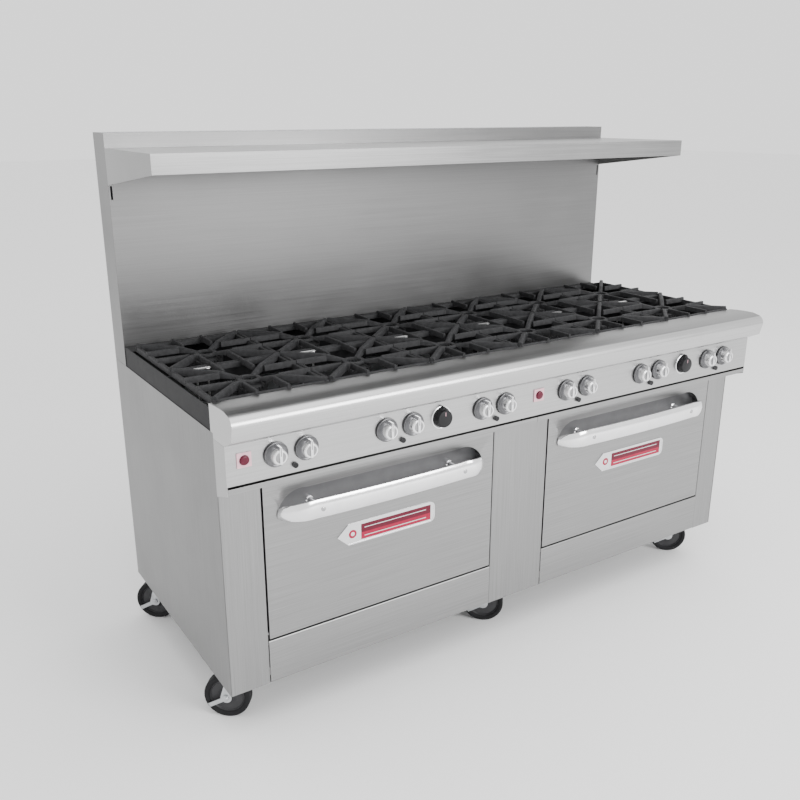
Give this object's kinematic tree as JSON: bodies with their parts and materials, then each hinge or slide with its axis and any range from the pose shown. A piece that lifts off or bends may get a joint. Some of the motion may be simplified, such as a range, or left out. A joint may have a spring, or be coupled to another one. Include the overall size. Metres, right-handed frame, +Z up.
{
  "type": "commercial gas range",
  "caption": "Free-standing restaurant gas range: open burners with cast grates over drop-door ovens, riser with a high shelf, crumb drawers, on swivel casters.",
  "frame": {"origin": "on the floor under the middle of the range's bounding box", "axes": "+X to the right of someone facing the controls, +Y from the front rail to the riser, +Z up"},
  "size_m": [1.8738, 0.886, 1.507],
  "materials": {
    "stainless": "brushed along the panel's length",
    "door_steel": "brushed",
    "drawer_steel": "brushed",
    "frame_steel": "dark mill finish",
    "black_enamel": "black enamel",
    "oven_enamel": "speckled porcelain enamel",
    "rack_wire": "plated wire",
    "cast_iron": "matte seasoned casting",
    "handle_metal": "polished",
    "badge_red": "enamelled plate with a bright border",
    "knob_metal": "plated",
    "black_plastic": "moulded",
    "red_plastic": "gloss",
    "zinc_steel": "zinc plated",
    "wheel_rubber": "dark grey rubber on a moulded core"
  },
  "bodies": {
    "range": {"base_frame": "frame_steel", "side_panel_left": "stainless", "side_panel_right": "stainless", "rear_panel": "stainless", "front_column_left": "stainless", "front_column_centre": "stainless", "front_column_right": "stainless", "control_panel": "stainless", "gas_manifold": "frame_steel", "front_rail": "stainless", "burner_box": "black_enamel", "riser_front": "stainless", "riser_back": "stainless", "high_shelf": "stainless", "kick_panel_left": "stainless", "kick_panel_right": "stainless", "oven_left": "oven_enamel", "oven_right": "oven_enamel", "rack_left": "rack_wire", "rack_right": "rack_wire", "top_grates": "cast_iron", "burners": "cast_iron"},
    "door_left": {"door_left_skin": "door_steel", "door_left_liner": "door_steel", "door_left_handle": "handle_metal", "door_left_badge": "badge_red"},
    "door_right": {"door_right_skin": "door_steel", "door_right_liner": "door_steel", "door_right_handle": "handle_metal", "door_right_badge": "badge_red"},
    "knob_01": {"knob_01": "knob_metal"},
    "knob_02": {"knob_02": "knob_metal"},
    "knob_03": {"knob_03": "knob_metal"},
    "knob_04": {"knob_04": "knob_metal"},
    "knob_05": {"knob_05": "knob_metal"},
    "knob_06": {"knob_06": "knob_metal"},
    "knob_07": {"knob_07": "knob_metal"},
    "knob_08": {"knob_08": "knob_metal"},
    "knob_09": {"knob_09": "knob_metal"},
    "knob_10": {"knob_10": "knob_metal"},
    "knob_11": {"knob_11": "knob_metal"},
    "knob_12": {"knob_12": "knob_metal"},
    "thermostat_left": {"thermostat_left": "black_plastic"},
    "thermostat_right": {"thermostat_right": "black_plastic"},
    "button_left": {"button_left": "red_plastic"},
    "button_right": {"button_right": "red_plastic"},
    "crumb_drawer_left": {"crumb_drawer_left": "drawer_steel"},
    "crumb_drawer_right": {"crumb_drawer_right": "drawer_steel"},
    "caster_fork_1": {"caster_fork_1": "zinc_steel"},
    "caster_wheel_1": {"caster_wheel_1": "wheel_rubber"},
    "caster_fork_2": {"caster_fork_2": "zinc_steel"},
    "caster_wheel_2": {"caster_wheel_2": "wheel_rubber"},
    "caster_fork_3": {"caster_fork_3": "zinc_steel"},
    "caster_wheel_3": {"caster_wheel_3": "wheel_rubber"},
    "caster_fork_4": {"caster_fork_4": "zinc_steel"},
    "caster_wheel_4": {"caster_wheel_4": "wheel_rubber"},
    "caster_fork_5": {"caster_fork_5": "zinc_steel"},
    "caster_wheel_5": {"caster_wheel_5": "wheel_rubber"},
    "caster_fork_6": {"caster_fork_6": "zinc_steel"},
    "caster_wheel_6": {"caster_wheel_6": "wheel_rubber"}
  },
  "joints": [
    {"name": "door_left_hinge", "type": "hinge", "parent": "range", "child": "door_left", "pos_m": [-0.44406, -0.316, 0.282], "axis": [1, 0, 0], "range_deg": [0, 90]},
    {"name": "door_right_hinge", "type": "hinge", "parent": "range", "child": "door_right", "pos_m": [0.48494, -0.316, 0.282], "axis": [1, 0, 0], "range_deg": [0, 90]},
    {"name": "knob_01_turn", "type": "hinge", "parent": "range", "child": "knob_01", "pos_m": [-0.79256, -0.392, 0.802], "axis": [0, -1, 0], "range_deg": [0, 90]},
    {"name": "knob_02_turn", "type": "hinge", "parent": "range", "child": "knob_02", "pos_m": [-0.71257, -0.392, 0.802], "axis": [0, -1, 0], "range_deg": [0, 90]},
    {"name": "knob_03_turn", "type": "hinge", "parent": "range", "child": "knob_03", "pos_m": [-0.48757, -0.392, 0.802], "axis": [0, -1, 0], "range_deg": [0, 90]},
    {"name": "knob_04_turn", "type": "hinge", "parent": "range", "child": "knob_04", "pos_m": [-0.40757, -0.392, 0.802], "axis": [0, -1, 0], "range_deg": [0, 90]},
    {"name": "knob_05_turn", "type": "hinge", "parent": "range", "child": "knob_05", "pos_m": [-0.18257, -0.392, 0.802], "axis": [0, -1, 0], "range_deg": [0, 90]},
    {"name": "knob_06_turn", "type": "hinge", "parent": "range", "child": "knob_06", "pos_m": [-0.10257, -0.392, 0.802], "axis": [0, -1, 0], "range_deg": [0, 90]},
    {"name": "knob_07_turn", "type": "hinge", "parent": "range", "child": "knob_07", "pos_m": [0.12244, -0.392, 0.802], "axis": [0, -1, 0], "range_deg": [0, 90]},
    {"name": "knob_08_turn", "type": "hinge", "parent": "range", "child": "knob_08", "pos_m": [0.20244, -0.392, 0.802], "axis": [0, -1, 0], "range_deg": [0, 90]},
    {"name": "knob_09_turn", "type": "hinge", "parent": "range", "child": "knob_09", "pos_m": [0.42744, -0.392, 0.802], "axis": [0, -1, 0], "range_deg": [0, 90]},
    {"name": "knob_10_turn", "type": "hinge", "parent": "range", "child": "knob_10", "pos_m": [0.50743, -0.392, 0.802], "axis": [0, -1, 0], "range_deg": [0, 90]},
    {"name": "knob_11_turn", "type": "hinge", "parent": "range", "child": "knob_11", "pos_m": [0.73243, -0.392, 0.802], "axis": [0, -1, 0], "range_deg": [0, 90]},
    {"name": "knob_12_turn", "type": "hinge", "parent": "range", "child": "knob_12", "pos_m": [0.81244, -0.392, 0.802], "axis": [0, -1, 0], "range_deg": [0, 90]},
    {"name": "thermostat_left_turn", "type": "hinge", "parent": "range", "child": "thermostat_left", "pos_m": [-0.31706, -0.392, 0.802], "axis": [0, -1, 0], "range_deg": [-300, 0]},
    {"name": "thermostat_right_turn", "type": "hinge", "parent": "range", "child": "thermostat_right", "pos_m": [0.61894, -0.392, 0.802], "axis": [0, -1, 0], "range_deg": [-300, 0]},
    {"name": "button_left_press", "type": "slide", "parent": "range", "child": "button_left", "axis": [0, 1, 0], "range_m": [0, 0.004], "stiffness_N_per_m": 700, "springref_m": -0.002},
    {"name": "button_right_press", "type": "slide", "parent": "range", "child": "button_right", "axis": [0, 1, 0], "range_m": [0, 0.004], "stiffness_N_per_m": 700, "springref_m": -0.002},
    {"name": "crumb_drawer_left_slide", "type": "slide", "parent": "range", "child": "crumb_drawer_left", "axis": [0, -1, 0], "range_m": [0, 0.55]},
    {"name": "crumb_drawer_right_slide", "type": "slide", "parent": "range", "child": "crumb_drawer_right", "axis": [0, -1, 0], "range_m": [0, 0.55]},
    {"name": "caster_1_swivel", "type": "hinge", "parent": "range", "child": "caster_fork_1", "pos_m": [-0.85206, -0.229, 0.15], "axis": [0, 0, 1], "continuous": true},
    {"name": "caster_1_roll", "type": "hinge", "parent": "caster_fork_1", "child": "caster_wheel_1", "pos_m": [-0.87964, -0.20586, 0.0635], "axis": [-0.6428, -0.766, 0], "continuous": true},
    {"name": "caster_2_swivel", "type": "hinge", "parent": "range", "child": "caster_fork_2", "pos_m": [0.02193, -0.229, 0.15], "axis": [0, 0, 1], "continuous": true},
    {"name": "caster_2_roll", "type": "hinge", "parent": "caster_fork_2", "child": "caster_wheel_2", "pos_m": [-0.00564, -0.20586, 0.0635], "axis": [-0.6428, -0.766, 0], "continuous": true},
    {"name": "caster_3_swivel", "type": "hinge", "parent": "range", "child": "caster_fork_3", "pos_m": [0.89294, -0.229, 0.15], "axis": [0, 0, 1], "continuous": true},
    {"name": "caster_3_roll", "type": "hinge", "parent": "caster_fork_3", "child": "caster_wheel_3", "pos_m": [0.86536, -0.20586, 0.0635], "axis": [-0.6428, -0.766, 0], "continuous": true},
    {"name": "caster_4_swivel", "type": "hinge", "parent": "range", "child": "caster_fork_4", "pos_m": [-0.85206, 0.359, 0.15], "axis": [0, 0, 1], "continuous": true},
    {"name": "caster_4_roll", "type": "hinge", "parent": "caster_fork_4", "child": "caster_wheel_4", "pos_m": [-0.87964, 0.38214, 0.0635], "axis": [-0.6428, -0.766, 0], "continuous": true},
    {"name": "caster_5_swivel", "type": "hinge", "parent": "range", "child": "caster_fork_5", "pos_m": [0.02193, 0.359, 0.15], "axis": [0, 0, 1], "continuous": true},
    {"name": "caster_5_roll", "type": "hinge", "parent": "caster_fork_5", "child": "caster_wheel_5", "pos_m": [-0.00564, 0.38214, 0.0635], "axis": [-0.6428, -0.766, 0], "continuous": true},
    {"name": "caster_6_swivel", "type": "hinge", "parent": "range", "child": "caster_fork_6", "pos_m": [0.89294, 0.359, 0.15], "axis": [0, 0, 1], "continuous": true},
    {"name": "caster_6_roll", "type": "hinge", "parent": "caster_fork_6", "child": "caster_wheel_6", "pos_m": [0.86536, 0.38214, 0.0635], "axis": [-0.6428, -0.766, 0], "continuous": true}
  ]
}
